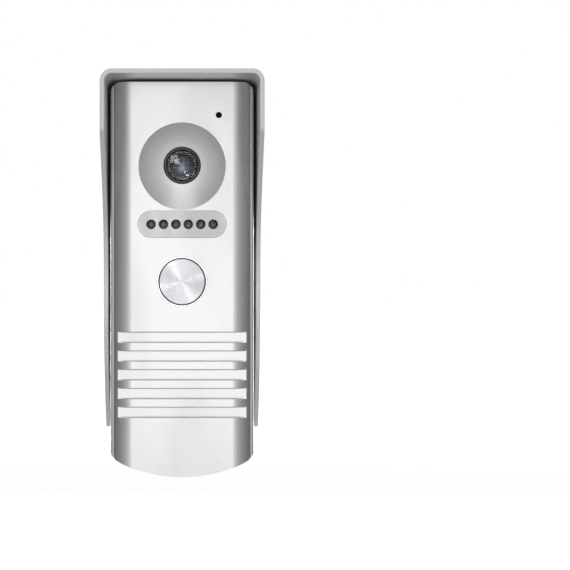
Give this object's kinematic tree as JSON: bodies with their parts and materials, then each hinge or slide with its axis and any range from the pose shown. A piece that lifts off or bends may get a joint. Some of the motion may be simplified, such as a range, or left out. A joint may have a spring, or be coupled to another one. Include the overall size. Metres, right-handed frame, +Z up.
{
  "type": "video intercom door station",
  "caption": "Slim outdoor door station of a video intercom, with a camera, infra-red lamps, a call button and a grooved speaker front, under a deep rain hood that screws to the wall.",
  "frame": {"origin": "on the wall plane, midway between the two wall screws of the rain hood", "axes": "+X to the viewer's right, +Y into the wall, +Z up"},
  "size_m": [0.056, 0.0484, 0.1405],
  "materials": {
    "hood_paint": "satin silver paint",
    "housing_paint": "satin silver paint",
    "cover_plastic": "fine grained",
    "seal_rubber": "matte",
    "steel_screw": "zinc plated",
    "bezel_paint": "satin silver paint",
    "black_plastic": "semi gloss",
    "clear_window": "clear",
    "lens_black": "black anodised",
    "lens_glass": "coated",
    "sensor": "smooth",
    "circuit_board": "solder mask",
    "grey_plastic": "satin",
    "smoked_lamp": "smoked clear",
    "gold_pins": "plated",
    "spun_metal": "spun",
    "bright_metal": "polished",
    "white_plastic": "satin",
    "spring_steel": "drawn wire",
    "capacitor_can": "sleeved",
    "connector_plastic": "satin",
    "terminal_green": "satin",
    "trimmer_blue": "satin",
    "cloth": "woven",
    "paper_cone": "pulp",
    "copper_coil": "enamelled copper wire",
    "plated_steel": "plated",
    "ferrite": "nickel plated magnet",
    "wire_insulation": "pvc"
  },
  "bodies": {
    "station": {"rain_hood": "hood_paint", "front_housing": "housing_paint", "rear_cover": "cover_plastic", "cover_gasket": "seal_rubber", "cover_screws": "steel_screw", "security_screw": "steel_screw", "camera_bezel": "bezel_paint", "bezel_seal": "seal_rubber", "bezel_retainer": "steel_screw", "lens_ring": "black_plastic", "window_seal": "seal_rubber", "camera_window": "clear_window", "lens_barrel": "lens_black", "front_lens": "lens_glass", "rear_lens": "lens_glass", "lens_holder": "black_plastic", "image_sensor": "sensor", "camera_board": "circuit_board", "camera_screws": "steel_screw", "camera_connector": "black_plastic", "ir_plate": "grey_plastic", "ir_leds": "smoked_lamp", "ir_board": "circuit_board", "ir_screws": "steel_screw", "ir_header": "gold_pins", "microphone": "capacitor_can", "mic_boot": "seal_rubber", "mic_wires": "wire_insulation", "button_ring": "bright_metal", "button_seal": "seal_rubber", "button_spring": "spring_steel", "button_guide": "white_plastic", "guide_screws": "steel_screw", "switch_body": "black_plastic", "main_board": "circuit_board", "board_screws": "steel_screw", "board_chips": "black_plastic", "board_capacitors": "capacitor_can", "wire_connectors": "connector_plastic", "terminal_block": "terminal_green", "terminal_screws": "steel_screw", "volume_body": "trimmer_blue", "volume_plug": "seal_rubber", "speaker_cloth": "cloth", "speaker_seal": "seal_rubber", "speaker_basket": "plated_steel", "speaker_surround": "seal_rubber", "speaker_yoke": "plated_steel", "speaker_magnet": "ferrite", "pole_plate": "plated_steel", "speaker_screws": "steel_screw", "speaker_wires": "wire_insulation"},
    "call_button": {"button_cap": "spun_metal", "button_plunger": "white_plastic"},
    "switch_stem": {"switch_stem": "white_plastic"},
    "speaker_cone": {"speaker_cone": "paper_cone", "voice_coil": "copper_coil"},
    "volume_rotor": {"volume_rotor": "white_plastic"}
  },
  "joints": [
    {"name": "call_button", "type": "slide", "parent": "station", "child": "call_button", "axis": [0, 1, 0], "range_m": [0, 0.0006], "stiffness_N_per_m": 900, "springref_m": -0.0012, "deforming": ["button_spring"]},
    {"name": "switch_stem", "type": "slide", "parent": "station", "child": "switch_stem", "axis": [0, 1, 0], "range_m": [0, 0.0006]},
    {"name": "speaker_cone", "type": "slide", "parent": "station", "child": "speaker_cone", "axis": [0, -1, 0], "range_m": [-0.0003, 0.0003], "stiffness_N_per_m": 800, "deforming": ["speaker_surround"]},
    {"name": "volume_rotor", "type": "hinge", "parent": "station", "child": "volume_rotor", "pos_m": [0.012, -0.0105, -0.017], "axis": [0, 1, 0], "range_deg": [-135, 135]}
  ],
  "couplings": [
    {"joint": "switch_stem", "follows": "call_button", "ratio": 1}
  ]
}
